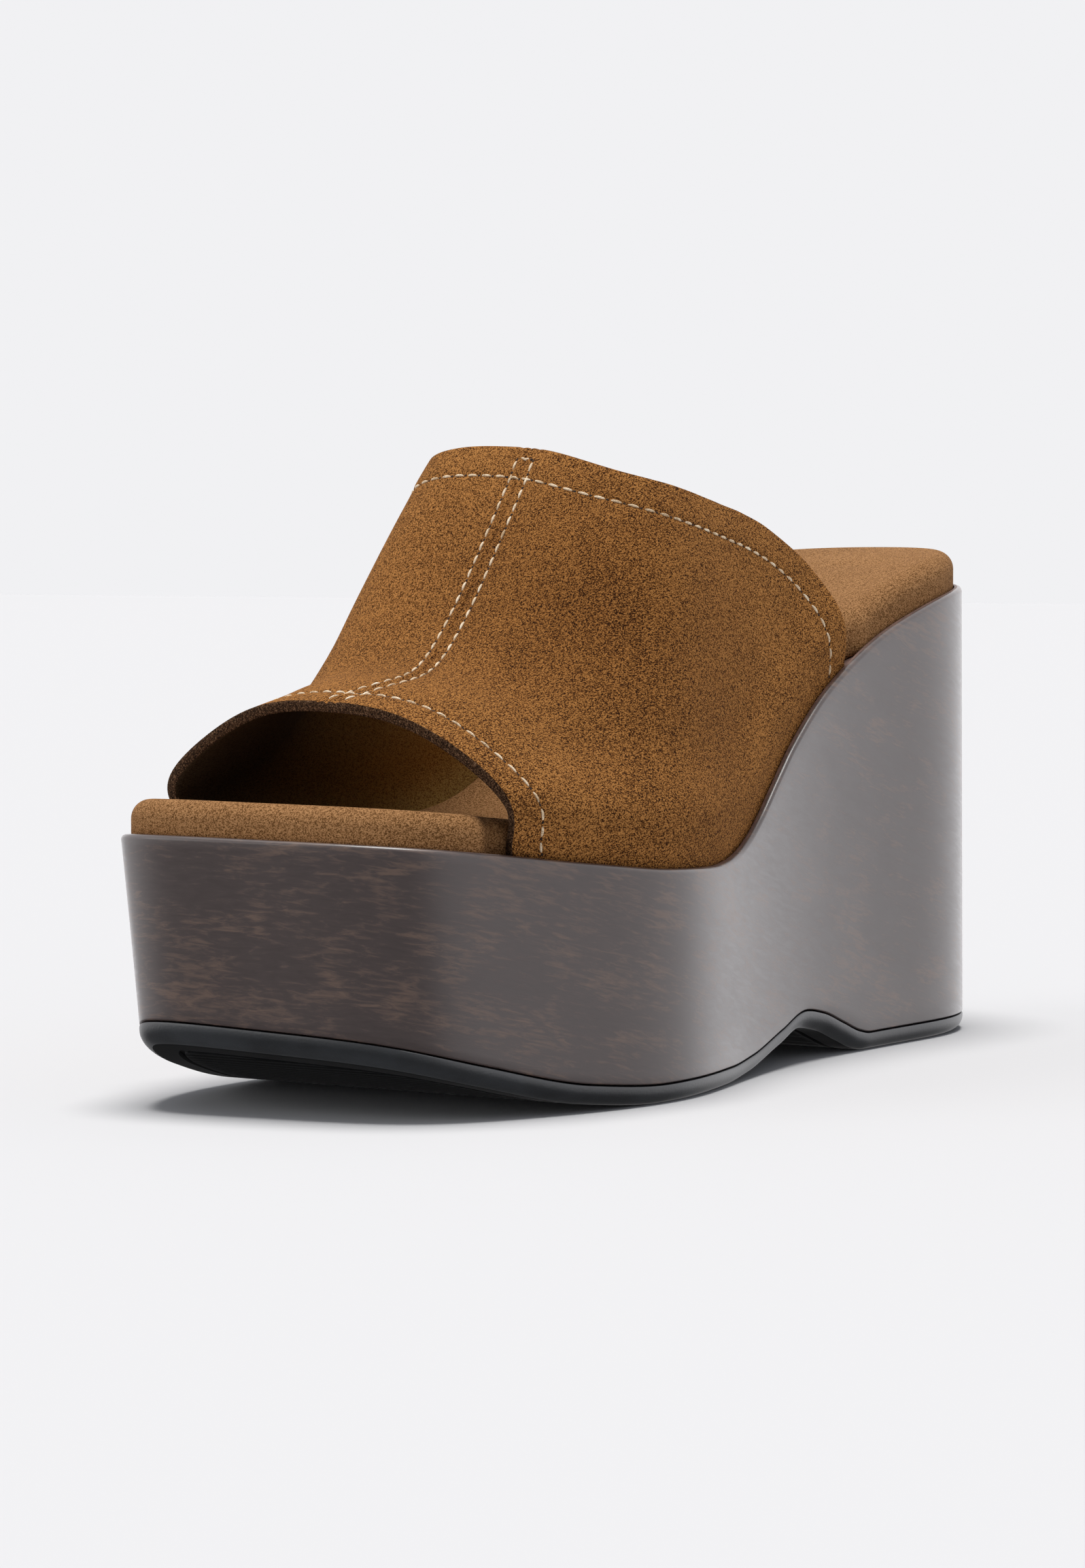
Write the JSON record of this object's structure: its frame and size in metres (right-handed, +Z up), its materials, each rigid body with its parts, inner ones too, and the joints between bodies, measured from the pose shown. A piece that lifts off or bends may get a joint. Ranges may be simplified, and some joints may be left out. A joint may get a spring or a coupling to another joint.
{
  "type": "open-toed platform wedge mule",
  "caption": "left-foot platform wedge mule: open-toed suede upper over a padded footbed, on a moulded wood-look wedge with a thin rubber outsole",
  "frame": {"origin": "on the floor, under the middle of the object's box", "axes": "+X points to the toe, +Y to the outer side of the left foot, +Z up"},
  "size_m": [0.244, 0.095, 0.1273],
  "materials": {
    "outsole_rubber": "black satin moulded rubber with a fine stippled tread panel",
    "wood_look_wedge": "dark brown wood-look foil or lacquer over a moulded core, satin gloss, fine streaks along the length",
    "footbed_suede": "tan suede over foam padding, soft nap, matt",
    "upper_suede": "warm tan-brown suede with a coarse nap and cream topstitching, raw cut edge at the toe"
  },
  "bodies": {
    "root": {"outsole": "outsole_rubber", "wedge": "wood_look_wedge", "footbed": "footbed_suede", "upper": "upper_suede"}
  },
  "joints": []
}
